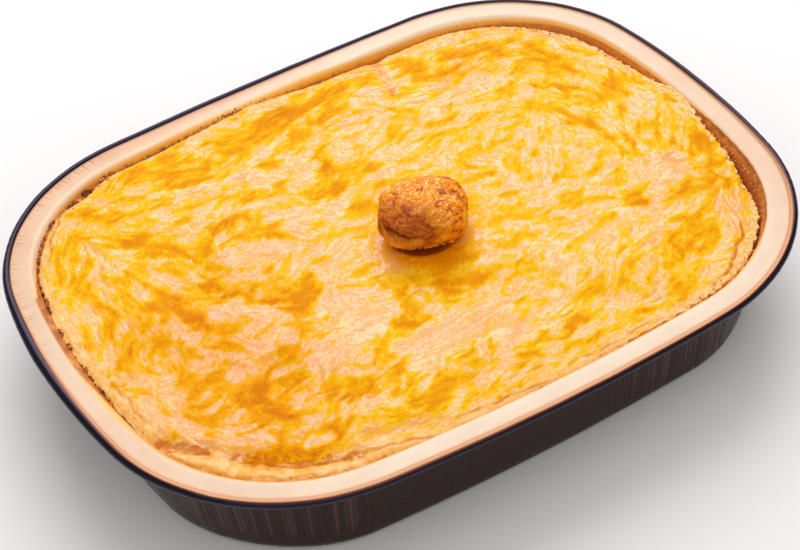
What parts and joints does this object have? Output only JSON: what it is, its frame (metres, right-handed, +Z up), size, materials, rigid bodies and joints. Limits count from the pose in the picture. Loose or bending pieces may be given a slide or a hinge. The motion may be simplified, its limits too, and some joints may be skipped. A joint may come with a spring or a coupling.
{
  "type": "chicken pie in foil tray",
  "caption": "Large baked pie with a glazed crust and a ball of pastry on top, in its own rounded rectangular foil tray.",
  "frame": {"origin": "under the middle of the tray, on the surface it stands on", "axes": "+X along the tray's long way, +Z up"},
  "size_m": [0.2976, 0.2352, 0.0631],
  "materials": {
    "lacquered_foil": "satin gold lacquer inside and on the flange, black lacquer outside and on the rolled bead",
    "crust": "egg-washed baked pastry, brushed and slightly glossy",
    "browned_pastry": "well browned, pebbly pastry"
  },
  "bodies": {
    "root": {"foil_tray": "lacquered_foil", "pie": "crust", "pastry_ball": "browned_pastry"}
  },
  "joints": []
}
